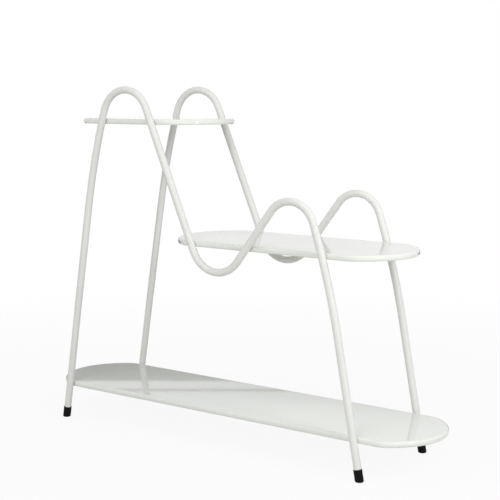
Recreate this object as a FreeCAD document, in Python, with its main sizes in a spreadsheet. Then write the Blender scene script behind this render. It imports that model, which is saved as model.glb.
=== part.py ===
"""A three-tier plant stand of bent steel tube and sheet steel.

Two wave-shaped tubes stand in parallel upright planes and hold three round-ended shelves between them.
Screws inside the turned-down rims draw each shelf against threaded inserts in the tubes, and a soft cap
closes every foot. X runs along the shelves, Y from front to rear and Z up from the floor, in millimetres.
"""
import FreeCAD, Part
import math
import os

import Sketcher
from FreeCAD import Placement, Rotation, Vector

SIZES = {
    # the bent tubes
    "tube_diameter": 12.0,
    "tube_wall": 1.2,
    "left_foot_x": -319.9,
    "right_foot_x": 291.3,
    "left_arch_x": -169.6,
    "left_arch_rise": 47.5,
    "left_arch_radius": 50.0,
    "trough_x": 22.3,
    "trough_drop": 46.0,
    "trough_radius": 52.0,
    "right_arch_x": 163.3,
    "right_arch_rise": 74.0,
    "right_arch_radius": 45.0,
    "leg_bow_radius": 1200.0,
    "leg_bow_angle": 8.3,
    # the shelves: levels of their tops, the straight side beyond each outer screw, how much the radius
    # of an end exceeds half the width, and how much the rim's lower round lacks to be complete
    "bottom_level": 64.5,
    "middle_level": 334.0,
    "top_level": 526.5,
    "bottom_left_side": 2.1,
    "bottom_right_side": 32.2,
    "middle_left_side": 14.1,
    "middle_right_side": 34.6,
    "top_left_side": 33.6,
    "top_right_side": 10.6,
    "shelf_width": 175.0,
    "shelf_corner_radius": 30.0,
    "shelf_end_flattening": 9.0,
    "shelf_sheet": 0.8,
    "rim_height": 9.0,
    "rim_round": 4.0,
    "rim_opening": 1.0,
    # the fastenings
    "seat_gap": 0.3,
    "screw_diameter": 4.0,
    "screw_length": 10.0,
    "head_diameter": 7.6,
    "head_height": 2.2,
    "head_edge": 0.7,
    "head_flat": 4.2,
    "socket_width": 2.5,
    "socket_depth": 1.3,
    "screw_clearance": 0.2,
    "washer_thickness": 2.0,
    "washer_length": 7.6,
    "washer_clearance": 0.1,
    "insert_diameter": 6.0,
    "insert_length": 8.0,
    "insert_clearance": 0.1,
    # the foot caps
    "foot_sole": 4.5,
    "cap_height": 19.0,
    "cap_wall": 0.6,
    "cap_clearance": 0.1,
    "cap_round": 2.0,
}

# Which run of the tube each shelf is screwed to, from left to right.
SHELF_SCREWS = {
    "bottom": {"bottom_left": "left_leg", "bottom_right": "right_leg"},
    "middle": {"middle_left": "diagonal", "middle_centre": "rise", "middle_right": "right_bow"},
    "top": {"top_left": "left_bow", "top_right": "diagonal"},
}
SIDES = {"front": -1, "rear": 1}

# Heights closer than the first count as the same, and a cut below the second as none.
SAME_HEIGHT = 1e-4
NO_CUT = 1e-6


class Bound:
    """A length that carries its expression in the sheet's names beside its present number."""

    def __init__(self, text, value):
        self.text = text
        self.value = value

    @staticmethod
    def of(other):
        return other if isinstance(other, Bound) else Bound(str(other), other)

    def __add__(self, other):
        other = Bound.of(other)
        return Bound(f"({self.text} + {other.text})", self.value + other.value)

    def __sub__(self, other):
        other = Bound.of(other)
        return Bound(f"({self.text} - {other.text})", self.value - other.value)

    def __mul__(self, other):
        other = Bound.of(other)
        return Bound(f"({self.text} * {other.text})", self.value * other.value)

    def __truediv__(self, other):
        other = Bound.of(other)
        return Bound(f"({self.text} / {other.text})", self.value / other.value)

    def __neg__(self):
        return Bound(f"(-{self.text})", -self.value)


doc = FreeCAD.newDocument("PlantStand")
sheet = doc.addObject("Spreadsheet::Sheet", "Sizes")
for row, (alias, number) in enumerate(SIZES.items(), start=1):
    sheet.set(f"A{row}", alias)
    sheet.set(f"B{row}", str(number))
    sheet.setAlias(f"B{row}", alias)
doc.recompute()

size = {alias: Bound(f"Sizes.{alias}", number) for alias, number in SIZES.items()}
ZERO = Bound("0", 0.0)

# Places that several pieces share.
half_width = size["shelf_width"] / 2
end_radius = half_width + size["shelf_end_flattening"]
tube_radius = size["tube_diameter"] / 2
drill_start = tube_radius / 3
frame_y = half_width + size["seat_gap"] + tube_radius
head_radius = size["head_diameter"] / 2
full_rim = size["rim_height"] + size["rim_opening"]
half_band = full_rim / 2 - size["rim_round"]
screw_drop = full_rim / 2
level = {shelf: size[f"{shelf}_level"] for shelf in SHELF_SCREWS}
screw_z = {shelf: level[shelf] - screw_drop for shelf in SHELF_SCREWS}


def plane(body, role):
    return next(feature for feature in body.Origin.OriginFeatures if feature.Role == role)


def new_body(label):
    body = doc.addObject("PartDesign::Body", label)
    body.Label = label
    return body


def new_sketch(body, name, role):
    sketch = body.newObject("Sketcher::SketchObject", f"{body.Name}_{name}")
    sketch.AttachmentSupport = [(plane(body, role), "")]
    sketch.MapMode = "FlatFace"
    return sketch


def dimension(sketch, kind, *targets_and_bound):
    """Add a driving dimension whose value follows a bound length."""
    *targets, bound = targets_and_bound
    index = sketch.addConstraint(Sketcher.Constraint(kind, *targets, bound.value))
    sketch.setExpression(f"Constraints[{index}]", bound.text)


def place_point(sketch, geometry, end, across, up):
    """Pin one point of a sketch by its two coordinates; a zero puts it on the axis."""
    if across is ZERO:
        sketch.addConstraint(Sketcher.Constraint("PointOnObject", geometry, end, -2))
    else:
        dimension(sketch, "DistanceX", -1, 1, geometry, end, across)
    if up is ZERO:
        sketch.addConstraint(Sketcher.Constraint("PointOnObject", geometry, end, -1))
    else:
        dimension(sketch, "DistanceY", -1, 1, geometry, end, up)


def add_polygon(sketch, corners):
    """Draw a closed outline of straight lines through bound corner points."""
    points = [Vector(across.value, up.value, 0) for across, up in corners]
    lines = []
    for start, end in zip(points, points[1:] + points[:1]):
        lines.append(sketch.addGeometry(Part.LineSegment(start, end), False))
    for line, following in zip(lines, lines[1:] + lines[:1]):
        sketch.addConstraint(Sketcher.Constraint("Coincident", line, 2, following, 1))
    for line, (across, up) in zip(lines, corners):
        place_point(sketch, line, 1, across, up)


def add_circle(sketch, across, up, diameter):
    centre = Vector(across.value, up.value, 0)
    circle = sketch.addGeometry(Part.Circle(centre, Vector(0, 0, 1), diameter.value / 2), False)
    dimension(sketch, "Diameter", circle, diameter)
    place_point(sketch, circle, 3, across, up)


def revolve(body, profile):
    turned = body.newObject("PartDesign::Revolution", f"{body.Name}_turned")
    turned.Profile = profile
    turned.ReferenceAxis = (profile, ["V_Axis"])
    turned.Angle = 360
    return turned


def unit(heading):
    return Vector(math.cos(heading), math.sin(heading), 0)


def left_of(heading):
    return Vector(-math.sin(heading), math.cos(heading), 0)


def tangent_heading(start, end, start_turn, end_turn):
    """Heading of the line that leaves one circle and meets the next; a left turn has a positive radius."""
    span = end - start
    return math.atan2(span.y, span.x) - math.asin((end_turn - start_turn) / span.Length)


def arc(centre, radius, first, last):
    return Part.ArcOfCircle(Part.Circle(centre, Vector(0, 0, 1), radius), first, last)


def wave_centre_line():
    """Work out the tube's centre line in side view: five arcs and the straight runs tangent to them."""
    left_foot = Vector(SIZES["left_foot_x"], 0, 0)
    right_foot = Vector(SIZES["right_foot_x"], 0, 0)
    left_top, trough, right_top = (Vector(x.value, z.value, 0) for x, z in bend_centres())
    left_radius = SIZES["left_arch_radius"]
    trough_radius = SIZES["trough_radius"]
    right_radius = SIZES["right_arch_radius"]
    bow = SIZES["leg_bow_radius"]
    sweep = math.radians(SIZES["leg_bow_angle"])
    # A bowed leg clears the centre of its arch as a straight one would clear a larger circle.
    left_reach = bow - (bow - left_radius) * math.cos(sweep)
    right_reach = bow - (bow - right_radius) * math.cos(sweep)

    up_left = tangent_heading(left_foot, left_top, 0, -left_reach)
    down = tangent_heading(left_top, trough, -left_radius, trough_radius)
    up = tangent_heading(trough, right_top, trough_radius, -right_radius)
    down_right = tangent_heading(right_top, right_foot, -right_reach, 0)
    into_left = up_left - sweep
    out_of_right = down_right + sweep

    left_bow_centre = left_top - left_of(into_left) * (bow - left_radius)
    right_bow_centre = right_top - left_of(out_of_right) * (bow - right_radius)
    left_end = left_foot + unit(up_left) * SIZES["foot_sole"]
    right_end = right_foot - unit(down_right) * SIZES["foot_sole"]
    quarter = math.pi / 2
    leg_top_left = left_bow_centre + left_of(up_left) * bow
    leg_top_right = right_bow_centre + left_of(down_right) * bow
    diagonal_top = left_top + left_of(down) * left_radius
    diagonal_foot = trough - left_of(down) * trough_radius
    rise_foot = trough - left_of(up) * trough_radius
    rise_top = right_top + left_of(up) * right_radius
    runs = {
        "left_leg": Part.LineSegment(left_end, leg_top_left),
        "left_bow": arc(left_bow_centre, bow, into_left + quarter, up_left + quarter),
        "left_arch": arc(left_top, left_radius, down + quarter, into_left + quarter),
        "diagonal": Part.LineSegment(diagonal_top, diagonal_foot),
        "trough": arc(trough, trough_radius, down - quarter, up - quarter),
        "rise": Part.LineSegment(rise_foot, rise_top),
        "right_arch": arc(right_top, right_radius, out_of_right + quarter, up + quarter),
        "right_bow": arc(right_bow_centre, bow, down_right + quarter, out_of_right + quarter),
        "right_leg": Part.LineSegment(leg_top_right, right_end),
    }
    soles = {
        "left_sole": Part.LineSegment(left_foot, left_end),
        "right_sole": Part.LineSegment(right_foot, right_end),
    }
    return runs, soles


def bend_centres():
    """Centres of the left arch, the trough and the right arch, tied to the shelves that they pass."""
    left_z = level["top"] + size["left_arch_rise"] - size["left_arch_radius"]
    trough_z = level["middle"] - size["trough_drop"] + size["trough_radius"]
    right_z = level["middle"] + size["right_arch_rise"] - size["right_arch_radius"]
    return [
        (size["left_arch_x"], left_z),
        (size["trough_x"], trough_z),
        (size["right_arch_x"], right_z),
    ]


def crossing(run, height):
    """Where a run of the centre line passes a height."""
    if isinstance(run, Part.LineSegment):
        start, end = run.StartPoint, run.EndPoint
        return start.x + (end.x - start.x) * (height - start.y) / (end.y - start.y)
    offset = math.sqrt(run.Radius ** 2 - (height - run.Center.y) ** 2)
    side = math.copysign(1.0, run.StartPoint.x + run.EndPoint.x - 2 * run.Center.x)
    return run.Center.x + side * offset


def measure(sketch, kind, targets, start, name):
    """Add a measured dimension that other pieces read by its name."""
    index = sketch.addConstraint(Sketcher.Constraint(kind, *targets, start))
    sketch.setDriving(index, False)
    sketch.renameConstraint(index, name)


def draw_wave(sketch):
    """Draw the centre line with its dimensions, and measure the screw points and the legs' headings."""
    runs, soles = wave_centre_line()
    line = {name: sketch.addGeometry(shape, False) for name, shape in runs.items()}
    sole = {name: sketch.addGeometry(shape, True) for name, shape in soles.items()}

    # An arch is drawn against the direction of travel and the trough along it.
    joints = [
        ("left_leg", 2, "left_bow", 2),
        ("left_bow", 1, "left_arch", 2),
        ("left_arch", 1, "diagonal", 1),
        ("diagonal", 2, "trough", 1),
        ("trough", 2, "rise", 1),
        ("rise", 2, "right_arch", 2),
        ("right_arch", 1, "right_bow", 2),
        ("right_bow", 1, "right_leg", 1),
    ]
    for before, before_end, after, after_end in joints:
        sketch.addConstraint(
            Sketcher.Constraint("Tangent", line[before], before_end, line[after], after_end))
    for name in ("left_arch", "trough", "right_arch"):
        dimension(sketch, "Radius", line[name], size[f"{name}_radius"])
    for name in ("left_bow", "right_bow"):
        dimension(sketch, "Radius", line[name], size["leg_bow_radius"])
        index = sketch.addConstraint(
            Sketcher.Constraint("Angle", line[name], math.radians(SIZES["leg_bow_angle"])))
        sketch.setExpression(f"Constraints[{index}]", "Sizes.leg_bow_angle * 1 deg")
    for name, (across, up) in zip(("left_arch", "trough", "right_arch"), bend_centres()):
        place_point(sketch, line[name], 3, across, up)
    for name, leg, leg_end in (("left", "left_leg", 1), ("right", "right_leg", 2)):
        ground = sole[f"{name}_sole"]
        sketch.addConstraint(Sketcher.Constraint("Coincident", ground, 2, line[leg], leg_end))
        sketch.addConstraint(Sketcher.Constraint("Parallel", ground, line[leg]))
        place_point(sketch, ground, 1, size[f"{name}_foot_x"], ZERO)
        dimension(sketch, "Distance", ground, size["foot_sole"])
        heading = soles[f"{name}_sole"].EndPoint - soles[f"{name}_sole"].StartPoint
        measure(sketch, "Angle", [ground], math.atan2(heading.y, heading.x), f"{name}_heading")

    for shelf, screws in SHELF_SCREWS.items():
        for name, run in screws.items():
            across = crossing(runs[run], screw_z[shelf].value)
            spot = Vector(across, screw_z[shelf].value, 0)
            point = sketch.addGeometry(Part.Point(spot), True)
            sketch.addConstraint(Sketcher.Constraint("PointOnObject", point, 1, line[run]))
            dimension(sketch, "DistanceY", -1, 1, point, 1, screw_z[shelf])
            measure(sketch, "DistanceX", [-1, 1, point, 1], across, f"{name}_x")
            screw_x[name] = Bound(f"({sketch.Name}.Constraints.{name}_x / 1 mm)", across)


def frame_tube(side):
    """One bent tube, open at both ends, with a hole in its inner flank for each insert."""
    body = new_body(f"{side}_frame_tube")
    body.setExpression("Placement.Base.y", (frame_y * SIDES[side]).text)
    path = new_sketch(body, "wave", "XZ_Plane")
    draw_wave(path)
    doc.recompute()

    ring = body.newObject("Sketcher::SketchObject", f"{body.Name}_ring")
    ring.AttachmentSupport = [(path, "Edge1")]
    ring.MapMode = "NormalToEdge"
    ring.MapPathParameter = 0.0
    # The tube's seam faces outwards, away from the holes.
    ring.AttachmentOffset = Placement(Vector(), Rotation(Vector(0, 0, 1), 90 + 90 * SIDES[side]))
    add_circle(ring, ZERO, ZERO, size["tube_diameter"])
    add_circle(ring, ZERO, ZERO, size["tube_diameter"] - size["tube_wall"] * 2)
    tube = body.newObject("PartDesign::AdditivePipe", f"{body.Name}_bent")
    tube.Profile = ring
    tube.Spine = path
    doc.recompute()

    holes = new_sketch(body, "insert_holes", "XZ_Plane")
    holes.setExpression("AttachmentOffset.Base.z", (drill_start * SIDES[side]).text)
    for shelf, screws in SHELF_SCREWS.items():
        for name in screws:
            diameter = size["insert_diameter"] + size["insert_clearance"] * 2
            add_circle(holes, screw_x[name], screw_z[shelf], diameter)
    drilled = body.newObject("PartDesign::Pocket", f"{body.Name}_drilled")
    drilled.Profile = holes
    drilled.Type = "Length"
    drilled.setExpression("Length", size["tube_diameter"].text)
    drilled.Reversed = side == "rear"
    doc.recompute()
    must_remove(tube, drilled)
    return body


def must_remove(before, after):
    if after.Shape.Volume >= before.Shape.Volume - NO_CUT:
        raise RuntimeError(f"{after.Name} removed nothing")


def draw_shelf_outline(sketch, left, right):
    """A shelf from above: two straight sides, and ends of one wide arc between two corner arcs."""
    corner = SIZES["shelf_corner_radius"]
    end = end_radius.value
    half = half_width.value
    inset = math.sqrt((end - corner) ** 2 - (half - corner) ** 2)
    lean = math.atan2(half - corner, inset)
    quarter = math.pi / 2
    shapes = [Part.LineSegment(Vector(left.value, -half, 0), Vector(right.value, -half, 0))]
    for across, turn in ((right.value, 0.0), (left.value, math.pi)):
        flip = math.cos(turn)
        near = Vector(across, -(half - corner) * flip, 0)
        far = Vector(across, (half - corner) * flip, 0)
        shapes.append(arc(near, corner, turn - quarter, turn - lean))
        shapes.append(arc(Vector(across - inset * flip, 0, 0), end, turn - lean, turn + lean))
        shapes.append(arc(far, corner, turn + lean, turn + quarter))
        if across == right.value:
            shapes.append(Part.LineSegment(Vector(right.value, half, 0), Vector(left.value, half, 0)))
    edges = [sketch.addGeometry(shape, False) for shape in shapes]
    front, right_end, rear, left_end = edges[0], edges[2], edges[4], edges[6]
    corners = [edges[1], edges[3], edges[5], edges[7]]
    for edge, following in zip(edges, edges[1:] + edges[:1]):
        sketch.addConstraint(Sketcher.Constraint("Tangent", edge, 2, following, 1))
    sketch.addConstraint(Sketcher.Constraint("Horizontal", front))
    for other in corners[1:]:
        sketch.addConstraint(Sketcher.Constraint("Equal", corners[0], other))
    sketch.addConstraint(Sketcher.Constraint("Equal", right_end, left_end))
    sketch.addConstraint(Sketcher.Constraint("PointOnObject", right_end, 3, -1))
    sketch.addConstraint(Sketcher.Constraint("PointOnObject", left_end, 3, -1))
    dimension(sketch, "Radius", corners[0], size["shelf_corner_radius"])
    dimension(sketch, "Radius", right_end, end_radius)
    place_point(sketch, front, 1, left, -half_width)
    dimension(sketch, "DistanceX", -1, 1, front, 2, right)
    dimension(sketch, "DistanceY", -1, 1, rear, 1, half_width)


def edges_at(shape, height):
    """Names of the edges that lie wholly at one height."""
    names = []
    for index, edge in enumerate(shape.Edges, start=1):
        box = edge.BoundBox
        if abs(box.ZMin - height) < SAME_HEIGHT and abs(box.ZMax - height) < SAME_HEIGHT:
            names.append(f"Edge{index}")
    return names


def face_at(shape, height):
    """Name of the flat face that lies at one height."""
    for index, face in enumerate(shape.Faces, start=1):
        box = face.BoundBox
        if abs(box.ZMin - height) < SAME_HEIGHT and abs(box.ZMax - height) < SAME_HEIGHT:
            return f"Face{index}"
    raise RuntimeError(f"no face at {height}")


def sheet_shelf(name):
    """A sheet-steel tray turned upside down: a flat top and a round rim, curled under and pierced for screws."""
    body = new_body(f"{name}_shelf")
    body.setExpression("Placement.Base.z", level[name].text)
    screws = list(SHELF_SCREWS[name])
    left = screw_x[screws[0]] - size[f"{name}_left_side"]
    right = screw_x[screws[-1]] + size[f"{name}_right_side"]
    outline = new_sketch(body, "outline", "XY_Plane")
    draw_shelf_outline(outline, left, right)
    block = body.newObject("PartDesign::Pad", f"{body.Name}_block")
    block.Profile = outline
    block.setExpression("Length", full_rim.text)
    block.Reversed = True
    doc.recompute()

    rounded = body.newObject("PartDesign::Fillet", f"{body.Name}_rounded")
    rounded.Base = (block, edges_at(block.Shape, 0.0) + edges_at(block.Shape, -full_rim.value))
    rounded.setExpression("Radius", size["rim_round"].text)
    doc.recompute()

    underside = new_sketch(body, "underside", "XY_Plane")
    underside.setExpression("AttachmentOffset.Base.z", (-size["rim_height"]).text)
    draw_shelf_outline(underside, left, right)
    opened = body.newObject("PartDesign::Pocket", f"{body.Name}_opened")
    opened.Profile = underside
    opened.Type = "ThroughAll"
    doc.recompute()
    must_remove(rounded, opened)

    hollow = body.newObject("PartDesign::Thickness", f"{body.Name}_hollow")
    hollow.Base = (opened, [face_at(opened.Shape, -SIZES["rim_height"])])
    hollow.setExpression("Value", size["shelf_sheet"].text)
    hollow.Reversed = True
    hollow.Join = "Intersection"
    doc.recompute()
    must_remove(opened, hollow)

    holes = new_sketch(body, "screw_holes", "XZ_Plane")
    for screw in screws:
        diameter = size["screw_diameter"] + size["screw_clearance"] * 2
        add_circle(holes, screw_x[screw], -screw_drop, diameter)
    drilled = body.newObject("PartDesign::Pocket", f"{body.Name}_drilled")
    drilled.Profile = holes
    drilled.Type = "ThroughAll"
    drilled.SideType = "Symmetric"
    doc.recompute()
    must_remove(hollow, drilled)
    return body


def foot_cap(side, end):
    """A thin cap in line with its leg, closed below and cut level with the floor."""
    body = new_body(f"{side}_{end}_foot_cap")
    heading = f"front_frame_tube_wave.Constraints.{end}_heading"
    body.Placement = Placement(Vector(), Rotation(Vector(0, 1, 0), 1.0))
    body.setExpression("Placement.Base.x", size[f"{end}_foot_x"].text)
    body.setExpression("Placement.Base.y", (frame_y * SIDES[side]).text)
    body.setExpression("Placement.Rotation.Angle", f"90 deg - {heading}")
    bore = tube_radius + size["cap_clearance"]
    outer = bore + size["cap_wall"]
    half_section = new_sketch(body, "half_section", "XZ_Plane")
    add_polygon(half_section, [
        (ZERO, -outer),
        (outer, -outer),
        (outer, size["cap_height"]),
        (bore, size["cap_height"]),
        (bore, size["foot_sole"]),
        (ZERO, size["foot_sole"]),
    ])
    cup = revolve(body, half_section)
    doc.recompute()

    floor = new_sketch(body, "floor", "XY_Plane")
    floor.AttachmentOffset = Placement(Vector(), Rotation(Vector(0, 1, 0), 1.0))
    floor.setExpression("AttachmentOffset.Rotation.Angle", f"{heading} - 90 deg")
    add_circle(floor, ZERO, ZERO, outer * 4)
    level_cut = body.newObject("PartDesign::Pocket", f"{body.Name}_level_cut")
    level_cut.Profile = floor
    level_cut.Type = "ThroughAll"
    doc.recompute()
    must_remove(cup, level_cut)

    rounded = body.newObject("PartDesign::Fillet", f"{body.Name}_rounded")
    rounded.Base = (level_cut, lowest_edge(level_cut.Shape))
    rounded.setExpression("Radius", size["cap_round"].text)
    return body


def lowest_edge(shape):
    """Name of the closed edge round the underside."""
    heights = [edge.CenterOfMass.z for edge in shape.Edges if edge.isClosed()]
    lowest = min(heights)
    for index, edge in enumerate(shape.Edges, start=1):
        if edge.isClosed() and edge.CenterOfMass.z == lowest:
            return [f"Edge{index}"]


def button_screw():
    """A button-head screw along Z, its head above zero and its shank below, with a hexagon socket."""
    body = new_body("button_screw")
    shank = size["screw_diameter"] / 2
    flat = size["head_flat"] / 2
    half_section = new_sketch(body, "half_section", "XZ_Plane")
    add_polygon(half_section, [
        (ZERO, -size["screw_length"]),
        (shank, -size["screw_length"]),
        (shank, ZERO),
        (head_radius, ZERO),
        (head_radius, size["head_edge"]),
        (flat, size["head_height"]),
        (ZERO, size["head_height"]),
    ])
    turned = revolve(body, half_section)
    doc.recompute()

    socket = new_sketch(body, "socket", "XY_Plane")
    socket.setExpression("AttachmentOffset.Base.z", size["head_height"].text)
    reach = size["socket_width"] / 2
    half_side = reach * (1 / math.sqrt(3))
    corner = half_side * 2
    add_polygon(socket, [
        (corner, ZERO),
        (half_side, reach),
        (-half_side, reach),
        (-corner, ZERO),
        (-half_side, -reach),
        (half_side, -reach),
    ])
    sunk = body.newObject("PartDesign::Pocket", f"{body.Name}_sunk")
    sunk.Profile = socket
    sunk.Type = "Length"
    sunk.setExpression("Length", size["socket_depth"].text)
    doc.recompute()
    must_remove(turned, sunk)
    return body


def saddle_washer():
    """A washer along Z whose underside is rounded to lie in the hollow of the rim, with a flat for the head."""
    body = new_body("saddle_washer")
    radius = size["rim_round"] - size["shelf_sheet"] - size["washer_clearance"]
    band = half_band.value
    bend = radius.value
    thick = SIZES["washer_thickness"]
    lift = math.asin((bend - thick) / bend)
    shoulder = bend * math.cos(lift)
    quarter = math.pi / 2
    section = new_sketch(body, "section", "YZ_Plane")
    seat = section.addGeometry(Part.LineSegment(Vector(-band, 0, 0), Vector(band, 0, 0)), False)
    right = section.addGeometry(arc(Vector(band, bend, 0), bend, -quarter, -lift), False)
    flat = section.addGeometry(
        Part.LineSegment(Vector(band + shoulder, thick, 0), Vector(-band - shoulder, thick, 0)), False)
    left = section.addGeometry(arc(Vector(-band, bend, 0), bend, math.pi + lift, 3 * quarter), False)
    section.addConstraint(Sketcher.Constraint("Tangent", seat, 2, right, 1))
    section.addConstraint(Sketcher.Constraint("Coincident", right, 2, flat, 1))
    section.addConstraint(Sketcher.Constraint("Coincident", flat, 2, left, 1))
    section.addConstraint(Sketcher.Constraint("Tangent", left, 2, seat, 1))
    section.addConstraint(Sketcher.Constraint("Equal", right, left))
    section.addConstraint(Sketcher.Constraint("Horizontal", flat))
    dimension(section, "Radius", right, radius)
    place_point(section, seat, 1, -half_band, ZERO)
    place_point(section, seat, 2, half_band, ZERO)
    dimension(section, "DistanceY", -1, 1, flat, 1, size["washer_thickness"])
    block = body.newObject("PartDesign::Pad", f"{body.Name}_block")
    block.Profile = section
    block.SideType = "Symmetric"
    block.setExpression("Length", size["washer_length"].text)
    doc.recompute()

    bore = new_sketch(body, "bore", "XY_Plane")
    add_circle(bore, ZERO, ZERO, size["screw_diameter"] + size["screw_clearance"] * 2)
    drilled = body.newObject("PartDesign::Pocket", f"{body.Name}_drilled")
    drilled.Profile = bore
    drilled.Type = "ThroughAll"
    drilled.Reversed = True
    doc.recompute()
    must_remove(block, drilled)
    return body


def threaded_insert():
    """A plain-bodied insert along Z, its face at zero against the shelf rim and its body in the tube."""
    body = new_body("threaded_insert")
    bore = size["screw_diameter"] / 2 + size["screw_clearance"]
    outer = size["insert_diameter"] / 2
    depth = size["insert_length"]
    half_section = new_sketch(body, "half_section", "XZ_Plane")
    add_polygon(half_section, [(bore, -depth), (outer, -depth), (outer, ZERO), (bore, ZERO)])
    revolve(body, half_section)
    return body


def fastener_group(label, master, side, depth, screws):
    """Set copies of one fastener at a row of screw points, all at one depth from the middle plane."""
    copies = []
    for shelf_name, screw in screws:
        copy = doc.addObject("App::Link", f"{label}_{screw}")
        copy.LinkedObject = master
        copy.LinkPlacement = Placement(Vector(), Rotation(Vector(1, 0, 0), 90 * SIDES[side]))
        copy.setExpression("LinkPlacement.Base.x", screw_x[screw].text)
        copy.setExpression("LinkPlacement.Base.y", (depth * SIDES[side]).text)
        copy.setExpression("LinkPlacement.Base.z", screw_z[shelf_name].text)
        copies.append(copy)
    group = doc.addObject("Part::Compound", label)
    group.Label = label
    group.Links = copies
    return group


screw_x = {}
solids_in = {}
for side in SIDES:
    solids_in[frame_tube(side)] = 1
for name in SHELF_SCREWS:
    solids_in[sheet_shelf(name)] = 1
for side in SIDES:
    for end in ("left", "right"):
        solids_in[foot_cap(side, end)] = 1

screw = button_screw()
washer = saddle_washer()
insert = threaded_insert()
washer_seat = half_width - size["shelf_sheet"] - size["washer_clearance"]
under_head = washer_seat - size["washer_thickness"]
for side in SIDES:
    every_point = []
    for shelf_name, points in SHELF_SCREWS.items():
        row = [(shelf_name, point) for point in points]
        every_point += row
        screws = fastener_group(f"{shelf_name}_{side}_screws", screw, side, under_head, row)
        washers = fastener_group(f"{shelf_name}_{side}_washers", washer, side, washer_seat, row)
        solids_in[screws] = len(row)
        solids_in[washers] = len(row)
    inserts = fastener_group(f"{side}_frame_inserts", insert, side, half_width, every_point)
    solids_in[inserts] = len(every_point)
doc.recompute()

for thing in doc.Objects:
    if "Invalid" in thing.State or "Error" in thing.State:
        raise RuntimeError(f"{thing.Name} failed to build: {thing.State}")
for piece, solids in solids_in.items():
    shape = piece.Shape
    if shape.isNull() or not shape.isValid() or len(shape.Solids) != solids:
        raise RuntimeError(f"{piece.Label} is not {solids} valid solids")

os.makedirs("parts", exist_ok=True)
for piece in solids_in:
    piece.Shape.exportStep(f"parts/{piece.Label}.step")
    print(piece.Label, len(piece.Shape.Solids), round(piece.Shape.Volume, 1))
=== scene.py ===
"""Dress and light a three-tier plant stand of bent steel tube and sheet steel.

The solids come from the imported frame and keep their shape. This file gives each of them the finish of the
real material, sets the stand on a pale studio floor and looks at it from the photograph's viewpoint. Lengths
are in metres: X runs along the shelves, Y from the front tube to the rear one, and Z up from the floor.
"""
import logging
import math
from dataclasses import dataclass
from enum import Enum
from typing import Any

import bpy
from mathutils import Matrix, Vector

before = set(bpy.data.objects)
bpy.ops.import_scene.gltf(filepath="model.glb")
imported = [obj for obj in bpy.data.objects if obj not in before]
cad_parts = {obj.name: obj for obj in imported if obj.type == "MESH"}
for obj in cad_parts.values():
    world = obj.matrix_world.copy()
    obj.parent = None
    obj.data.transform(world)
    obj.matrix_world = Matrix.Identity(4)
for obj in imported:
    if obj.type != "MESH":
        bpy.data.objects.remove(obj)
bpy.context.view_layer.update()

log = logging.getLogger("plant_stand")
MM = 0.001
UPRIGHT = math.radians(90.0)
WHITE = "#FFFFFF"

# Most of a noise's values lie between these two, so a range that follows a noise is spread over them.
NOISE_LOW = 0.3
NOISE_HIGH = 0.7


class Side(Enum):
    """The two parallel planes of bent tube."""

    FRONT = "front"
    REAR = "rear"


class Tier(Enum):
    """The three shelves, from the floor up."""

    BOTTOM = "bottom"
    MIDDLE = "middle"
    TOP = "top"


class End(Enum):
    """The two ends of a bent tube."""

    LEFT = "left"
    RIGHT = "right"


def linear(code: str) -> tuple[float, float, float, float]:
    """Turn an sRGB hex colour into linear light.

    Args:
        code: six hex digits, with or without a leading hash.

    Returns:
        Red, green, blue and a full alpha, from 0 to 1.
    """
    digits = code.lstrip("#")
    channels = []
    for start in (0, 2, 4):
        value = int(digits[start:start + 2], 16) / 255
        channels.append(value / 12.92 if value <= 0.04045 else ((value + 0.055) / 1.055) ** 2.4)
    return (*channels, 1.0)


def per_metre(millimetres: float) -> float:
    """Scale of a noise whose patches are about that many millimetres across."""
    return 1.0 / (millimetres * MM)


def add_node(tree: bpy.types.NodeTree, kind: str, inputs: dict[Any, Any] | None = None,
             **settings: Any) -> bpy.types.Node:
    """Add one node to a tree, with its settings and links.

    Args:
        tree: the tree that gets the node.
        kind: type name of the node.
        inputs: a value, or the output that feeds it, for each input by its name or number.
        settings: properties of the node itself.

    Returns:
        The new node.
    """
    node = tree.nodes.new(kind)
    for name, value in settings.items():
        setattr(node, name, value)
    for key, value in (inputs or {}).items():
        if isinstance(value, bpy.types.NodeSocket):
            tree.links.new(value, node.inputs[key])
        else:
            node.inputs[key].default_value = value
    return node


def new_material(name: str) -> tuple[bpy.types.Material, bpy.types.NodeTree]:
    """Make an empty node material.

    Args:
        name: name of the material.

    Returns:
        The material and its bare node tree.
    """
    material = bpy.data.materials.new(name)
    material.use_nodes = True
    material.node_tree.nodes.clear()
    return material, material.node_tree


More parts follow.
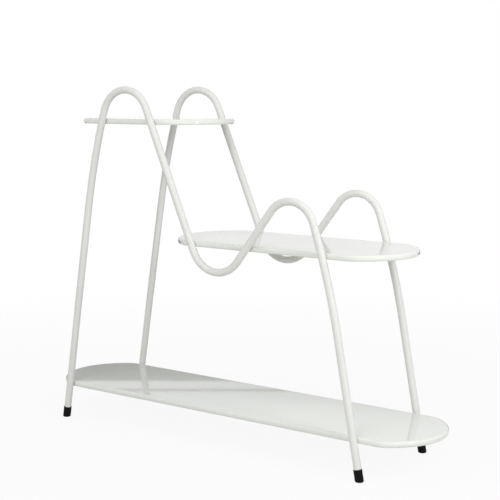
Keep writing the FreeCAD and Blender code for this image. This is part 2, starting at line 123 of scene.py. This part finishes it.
@dataclass(frozen=True)
class PowderCoat:
    """White polyester powder, sprayed on steel and baked: an even, glossy skin with a slight orange peel.

    The eye reads it as a clean white that mirrors the room more and more towards a grazing look, a little
    milkier in some patches than in others, with a few faint rub marks. The peel on a tube is about 1 mm from
    crest to crest, and is drawn coarser so that it shows. On the flat sheet it flows out into long, shallow
    waves.
    """

    name: str
    pale: str
    deep: str
    rubbed: str
    roughness_low: float
    roughness_high: float
    specular: float
    peel_mm: float
    peel_height_mm: float
    cloud_mm: float = 70.0
    smudge_mm: float = 24.0
    rub_mm: float = 9.0
    rub_from: float = 0.62
    rub_full: float = 0.74
    rub_share: float = 0.3
    rub_roughness: float = 0.03
    peel_strength: float = 0.6
    ior: float = 1.5

    def material(self) -> bpy.types.Material:
        """Build the node material.

        Returns:
            The finish, ready to be put on a tube or a shelf.
        """
        material, tree = new_material(self.name)
        place = add_node(tree, "ShaderNodeTexCoord").outputs["Object"]
        cloud = add_node(tree, "ShaderNodeTexNoise", {
            "Vector": place, "Scale": per_metre(self.cloud_mm), "Detail": 3.0, "Roughness": 0.55})
        white = add_node(tree, "ShaderNodeMix", {
            0: cloud.outputs["Fac"], 6: linear(self.deep), 7: linear(self.pale)}, data_type="RGBA")
        marks = add_node(tree, "ShaderNodeTexNoise", {
            "Vector": place, "Scale": per_metre(self.rub_mm), "Detail": 6.0, "Distortion": 1.5})
        rub = add_node(tree, "ShaderNodeMapRange", {
            "Value": marks.outputs["Fac"], "From Min": self.rub_from, "From Max": self.rub_full,
            "To Max": self.rub_share})
        colour = add_node(tree, "ShaderNodeMix", {
            0: rub.outputs[0], 6: white.outputs[2], 7: linear(self.rubbed)}, data_type="RGBA")
        smudge = add_node(tree, "ShaderNodeTexNoise", {
            "Vector": place, "Scale": per_metre(self.smudge_mm), "Detail": 4.0, "Distortion": 0.6})
        gloss = add_node(tree, "ShaderNodeMapRange", {
            "Value": smudge.outputs["Fac"], "From Min": NOISE_LOW, "From Max": NOISE_HIGH,
            "To Min": self.roughness_low, "To Max": self.roughness_high})
        roughness = add_node(tree, "ShaderNodeMath", {
            0: rub.outputs[0], 1: self.rub_roughness, 2: gloss.outputs[0]}, operation="MULTIPLY_ADD")
        peel = add_node(tree, "ShaderNodeTexNoise", {
            "Vector": place, "Scale": per_metre(self.peel_mm), "Detail": 2.0})
        bump = add_node(tree, "ShaderNodeBump", {
            "Height": peel.outputs["Fac"], "Strength": self.peel_strength,
            "Distance": self.peel_height_mm * MM})
        paint = add_node(tree, "ShaderNodeBsdfPrincipled", {
            "Base Color": colour.outputs[2], "Roughness": roughness.outputs[0], "Normal": bump.outputs[0],
            "Metallic": 0.0, "IOR": self.ior, "Specular IOR Level": self.specular})
        add_node(tree, "ShaderNodeOutputMaterial", {"Surface": paint.outputs[0]})
        return material


@dataclass(frozen=True)
class SoftPlastic:
    """Black plasticised PVC, dip-moulded: matt, faintly grained, and dusty where it meets the floor."""

    name: str
    black: str = "#070707"
    worn: str = "#0F0F0E"
    dust: str = "#3A3835"
    roughness_low: float = 0.5
    roughness_high: float = 0.68
    specular: float = 0.1
    grain_mm: float = 1.2
    grain_height_mm: float = 0.03
    grain_strength: float = 0.7
    patch_mm: float = 9.0
    dusty_mm: float = 2.5
    dusty_share: float = 0.6
    ior: float = 1.53

    def material(self) -> bpy.types.Material:
        """Build the node material.

        Returns:
            The finish, ready to be put on a foot cap.
        """
        material, tree = new_material(self.name)
        place = add_node(tree, "ShaderNodeTexCoord").outputs["Object"]
        patch = add_node(tree, "ShaderNodeTexNoise", {
            "Vector": place, "Scale": per_metre(self.patch_mm), "Detail": 4.0})
        skin = add_node(tree, "ShaderNodeMix", {
            0: patch.outputs["Fac"], 6: linear(self.black), 7: linear(self.worn)}, data_type="RGBA")
        height = add_node(tree, "ShaderNodeSeparateXYZ", {0: place}).outputs["Z"]
        low = add_node(tree, "ShaderNodeMapRange", {
            "Value": height, "From Min": 0.0, "From Max": self.dusty_mm * MM,
            "To Min": self.dusty_share, "To Max": 0.0})
        dusty = add_node(tree, "ShaderNodeMath", {
            0: low.outputs[0], 1: patch.outputs["Fac"]}, operation="MULTIPLY")
        colour = add_node(tree, "ShaderNodeMix", {
            0: dusty.outputs[0], 6: skin.outputs[2], 7: linear(self.dust)}, data_type="RGBA")
        roughness = add_node(tree, "ShaderNodeMapRange", {
            "Value": patch.outputs["Fac"], "From Min": NOISE_LOW, "From Max": NOISE_HIGH,
            "To Min": self.roughness_low, "To Max": self.roughness_high})
        grain = add_node(tree, "ShaderNodeTexNoise", {
            "Vector": place, "Scale": per_metre(self.grain_mm), "Detail": 3.0})
        bump = add_node(tree, "ShaderNodeBump", {
            "Height": grain.outputs["Fac"], "Strength": self.grain_strength,
            "Distance": self.grain_height_mm * MM})
        plastic = add_node(tree, "ShaderNodeBsdfPrincipled", {
            "Base Color": colour.outputs[2], "Roughness": roughness.outputs[0], "Normal": bump.outputs[0],
            "Metallic": 0.0, "IOR": self.ior, "Specular IOR Level": self.specular})
        add_node(tree, "ShaderNodeOutputMaterial", {"Surface": plastic.outputs[0]})
        return material


@dataclass(frozen=True)
class BrightZinc:
    """Zinc-plated steel with a clear passivate: cool grey metal with faintly blue and straw patches."""

    name: str
    blue: str = "#BFC5CC"
    straw: str = "#CBC7B8"
    roughness_low: float = 0.22
    roughness_high: float = 0.4
    patch_mm: float = 3.0
    scratch_mm: float = 0.5
    scratch_height_mm: float = 0.006
    scratch_strength: float = 0.5

    def material(self) -> bpy.types.Material:
        """Build the node material.

        Returns:
            The finish, ready to be put on screws, washers and inserts.
        """
        material, tree = new_material(self.name)
        place = add_node(tree, "ShaderNodeTexCoord").outputs["Object"]
        patch = add_node(tree, "ShaderNodeTexNoise", {
            "Vector": place, "Scale": per_metre(self.patch_mm), "Detail": 3.0})
        colour = add_node(tree, "ShaderNodeMix", {
            0: patch.outputs["Fac"], 6: linear(self.blue), 7: linear(self.straw)}, data_type="RGBA")
        scratch = add_node(tree, "ShaderNodeTexNoise", {
            "Vector": place, "Scale": per_metre(self.scratch_mm), "Detail": 2.0})
        roughness = add_node(tree, "ShaderNodeMapRange", {
            "Value": scratch.outputs["Fac"], "From Min": NOISE_LOW, "From Max": NOISE_HIGH,
            "To Min": self.roughness_low, "To Max": self.roughness_high})
        bump = add_node(tree, "ShaderNodeBump", {
            "Height": scratch.outputs["Fac"], "Strength": self.scratch_strength,
            "Distance": self.scratch_height_mm * MM})
        metal = add_node(tree, "ShaderNodeBsdfPrincipled", {
            "Base Color": colour.outputs[2], "Roughness": roughness.outputs[0], "Normal": bump.outputs[0],
            "Metallic": 1.0})
        add_node(tree, "ShaderNodeOutputMaterial", {"Surface": metal.outputs[0]})
        return material


def dress(node: str, material: bpy.types.Material) -> None:
    """Give a solid of the frame its finish.

    Args:
        node: name of the solid.
        material: finish for all its slots.
    """
    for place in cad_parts[node].material_slots:
        place.material = material
    log.info("%s: %s", node, material.name)


def shown_rays(tree: bpy.types.NodeTree) -> bpy.types.NodeSocket:
    """Tell the rays that show a surface to the eye from those that only carry its light on.

    Args:
        tree: the tree that gets the nodes.

    Returns:
        An output that is 1 for camera, glossy and transmission rays, and 0 for the rest.
    """
    path = add_node(tree, "ShaderNodeLightPath")
    direct = add_node(tree, "ShaderNodeMath", {
        0: path.outputs["Is Camera Ray"], 1: path.outputs["Is Glossy Ray"]}, operation="MAXIMUM")
    shown = add_node(tree, "ShaderNodeMath", {
        0: direct.outputs[0], 1: path.outputs["Is Transmission Ray"]}, operation="MAXIMUM")
    return shown.outputs[0]


@dataclass(frozen=True)
class Lamp:
    """One rectangular studio lamp that faces the stand."""

    name: str
    place: tuple[float, float, float]
    width: float
    height: float
    watts: float
    mirrored: bool = False

    def hang(self, aim: Vector) -> None:
        """Hang the lamp, where glossy surfaces show it only if it is a mirrored one.

        Args:
            aim: point that it faces.
        """
        light = bpy.data.lights.new(self.name, "AREA")
        light.shape = "RECTANGLE"
        light.size = self.width
        light.size_y = self.height
        light.energy = self.watts
        holder = bpy.data.objects.new(self.name, light)
        holder.location = self.place
        holder.visible_glossy = self.mirrored
        way = aim - Vector(self.place)
        holder.rotation_euler = way.to_track_quat("-Z", "Y").to_euler()
        bpy.context.scene.collection.objects.link(holder)


@dataclass
class Studio:
    """Pale floor, white surroundings, soft lamps, and a grey card and rail that the glossy shelves mirror."""

    floor_side: float = 60.0
    shadow_start: float = 0.3
    shadow_reach: float = 1.6
    shadow_share: float = 0.09
    floor_paint: str = "#DCDCDA"
    surround_light: float = 0.34
    card_place: tuple[float, float] = (-0.75, 0.9)
    card_turn: float = 37.0
    card_length: float = 3.0
    card_height: float = 0.317
    card_fade: float = 0.06
    card_dark: str = "#202020"
    card_pale: str = "#B0B0AE"
    rail_level: float = 0.338
    rail_height: float = 0.007
    rail_grey: str = "#B8B8B6"
    lamp_aim: tuple[float, float, float] = (0.0, 0.0, 0.25)
    lamps: tuple[Lamp, ...] = (
        Lamp("main_softbox", (0.6, -2.6, 1.5), 1.7, 1.7, 29.0),
        Lamp("right_softbox", (1.3, 0.0, 1.0), 1.0, 1.0, 8.0),
        Lamp("right_strip", (2.0, -0.4, 0.9), 0.12, 1.4, 4.0, mirrored=True),
        Lamp("top_softbox", (0.0, -0.9, 2.1), 1.6, 0.6, 7.0),
        Lamp("rear_softbox", (-1.3, 1.75, 0.5), 1.5, 1.0, 11.0),
    )

    def build(self) -> None:
        """Lay the floor, paint the surroundings, hang the lamps and stand the card and the rail."""
        self.lay_floor()
        self.paint_surroundings()
        for lamp in self.lamps:
            lamp.hang(Vector(self.lamp_aim))
        self.stand_card("grey_card", 0.0, self.card_height, self.card_dark, self.card_pale)
        self.stand_card("grey_rail", self.rail_level, self.rail_height, self.rail_grey, self.rail_grey)

    def lay_floor(self) -> None:
        """Lay one wide floor whose shadow fades into the white of the surroundings."""
        bpy.ops.object.select_all(action="DESELECT")
        bpy.ops.mesh.primitive_plane_add(size=self.floor_side, location=(0.0, 0.0, 0.0))
        floor = bpy.context.object
        floor.name = "studio_floor"
        material, tree = new_material("matt_studio_floor")
        place = add_node(tree, "ShaderNodeTexCoord").outputs["Object"]
        away = add_node(tree, "ShaderNodeVectorMath", {0: place}, operation="LENGTH").outputs["Value"]
        share = add_node(tree, "ShaderNodeMapRange", {
            "Value": away, "From Min": self.shadow_start, "From Max": self.shadow_reach,
            "To Min": 1.0 - self.shadow_share, "To Max": 1.0})
        white = add_node(tree, "ShaderNodeMath", {
            0: share.outputs[0], 1: shown_rays(tree)}, operation="MULTIPLY")
        matt = add_node(tree, "ShaderNodeBsdfDiffuse", {"Color": linear(self.floor_paint)})
        glow = add_node(tree, "ShaderNodeEmission", {"Color": linear(WHITE), "Strength": 1.0})
        both = add_node(tree, "ShaderNodeMixShader", {
            0: white.outputs[0], 1: matt.outputs[0], 2: glow.outputs[0]})
        add_node(tree, "ShaderNodeOutputMaterial", {"Surface": both.outputs[0]})
        floor.data.materials.append(material)

    def stand_card(self, name: str, level: float, height: float, dark: str, pale: str) -> None:
        """Stand a long grey card behind the stand, out of the picture, for the shelves to mirror.

        Args:
            name: name of the card.
            level: height of its lower edge above the floor.
            height: its height.
            dark: its colour, as sRGB hex.
            pale: the colour it fades to along its upper edge.
        """
        bpy.ops.object.select_all(action="DESELECT")
        bpy.ops.mesh.primitive_plane_add(size=1.0, location=(0.0, 0.0, 0.0))
        card = bpy.context.object
        card.name = name
        card.scale = (self.card_length, height, 1.0)
        card.rotation_euler = (UPRIGHT, 0.0, math.radians(self.card_turn))
        card.location = (self.card_place[0], self.card_place[1], level + height / 2)
        bpy.ops.object.transform_apply(location=True, rotation=True, scale=True)
        material, tree = new_material(f"{name}_paint")
        place = add_node(tree, "ShaderNodeTexCoord").outputs["Object"]
        up = add_node(tree, "ShaderNodeSeparateXYZ", {0: place}).outputs["Z"]
        fade = add_node(tree, "ShaderNodeMapRange", {
            "Value": up, "From Min": level + height - self.card_fade, "From Max": level + height})
        paint = add_node(tree, "ShaderNodeMix", {
            0: fade.outputs[0], 6: linear(dark), 7: linear(pale)}, data_type="RGBA")
        matt = add_node(tree, "ShaderNodeBsdfDiffuse", {"Color": paint.outputs[2]})
        add_node(tree, "ShaderNodeOutputMaterial", {"Surface": matt.outputs[0]})
        card.data.materials.append(material)
        card.visible_camera = False
        card.visible_shadow = False

    def paint_surroundings(self) -> None:
        """Show white surroundings to the eye and to reflections, and light the stand with less."""
        world = bpy.data.worlds.new("white_surroundings")
        world.use_nodes = True
        tree = world.node_tree
        tree.nodes.clear()
        strength = add_node(tree, "ShaderNodeMapRange", {
            "Value": shown_rays(tree), "To Min": self.surround_light, "To Max": 1.0})
        sky = add_node(tree, "ShaderNodeBackground", {
            "Color": linear(WHITE), "Strength": strength.outputs[0]})
        add_node(tree, "ShaderNodeOutputWorld", {"Surface": sky.outputs[0]})
        bpy.context.scene.world = world


@dataclass(frozen=True)
class Viewpoint:
    """The camera, at the photograph's place: turn about Z and tilt above the horizon in degrees."""

    place: tuple[float, float, float] = (1.2216, -1.5825, 0.5707)
    turn: float = 37.278
    tilt: float = -7.3555
    lens_mm: float = 88.22
    film_mm: float = 36.0
    farthest: float = 200.0

    def build(self) -> None:
        """Make the camera and give it to the scene."""
        camera = bpy.data.cameras.new("viewpoint")
        camera.sensor_fit = "HORIZONTAL"
        camera.sensor_width = self.film_mm
        camera.lens = self.lens_mm
        camera.clip_end = self.farthest
        holder = bpy.data.objects.new("viewpoint", camera)
        holder.location = self.place
        holder.rotation_euler = (UPRIGHT + math.radians(self.tilt), 0.0, math.radians(self.turn))
        bpy.context.scene.collection.objects.link(holder)
        bpy.context.scene.camera = holder


@dataclass
class BentFrame:
    """One bent tube, with the threaded inserts in its inner flank and a cap on each foot."""

    side: Side
    tube_finish: bpy.types.Material
    cap_finish: bpy.types.Material
    insert_finish: bpy.types.Material

    def dress(self) -> None:
        """Dress the tube, its inserts and its two caps."""
        dress(f"{self.side.value}_frame_tube", self.tube_finish)
        dress(f"{self.side.value}_frame_inserts", self.insert_finish)
        for end in End:
            dress(f"{self.side.value}_{end.value}_foot_cap", self.cap_finish)


@dataclass
class SheetShelf:
    """One sheet-steel shelf, with the screws and saddle washers that hold it between the two tubes."""

    tier: Tier
    sheet_finish: bpy.types.Material
    fastening_finish: bpy.types.Material

    def dress(self) -> None:
        """Dress the sheet, its screws and its washers."""
        dress(f"{self.tier.value}_shelf", self.sheet_finish)
        for side in Side:
            dress(f"{self.tier.value}_{side.value}_screws", self.fastening_finish)
            dress(f"{self.tier.value}_{side.value}_washers", self.fastening_finish)


@dataclass
class PlantStand:
    """The whole stand: two bent frames that carry three shelves."""

    tube_paint: PowderCoat = PowderCoat(
        name="powder_coat_tube", pale="#E9E9E6", deep="#E0E0DD", rubbed="#CFCFCB",
        roughness_low=0.14, roughness_high=0.2, specular=0.4, peel_mm=2.6, peel_height_mm=0.006)
    shelf_paint: PowderCoat = PowderCoat(
        name="powder_coat_shelf", pale="#ECEEEA", deep="#E4E6E2", rubbed="#D6D8D4",
        roughness_low=0.025, roughness_high=0.045, specular=0.5, peel_mm=10.0, peel_height_mm=0.002)
    cap_plastic: SoftPlastic = SoftPlastic("soft_black_pvc")
    plating: BrightZinc = BrightZinc("bright_zinc_plate")

    def dress(self) -> None:
        """Dress both frames and all shelves."""
        tube = self.tube_paint.material()
        shelf = self.shelf_paint.material()
        cap = self.cap_plastic.material()
        zinc = self.plating.material()
        for side in Side:
            BentFrame(side, tube, cap, zinc).dress()
        for tier in Tier:
            SheetShelf(tier, shelf, zinc).dress()


def main() -> None:
    """Build the scene."""
    logging.basicConfig(level=logging.INFO, format="%(message)s")
    bpy.context.scene.view_settings.view_transform = "Standard"
    PlantStand().dress()
    Studio().build()
    Viewpoint().build()


if __name__ == "__main__":
    main()
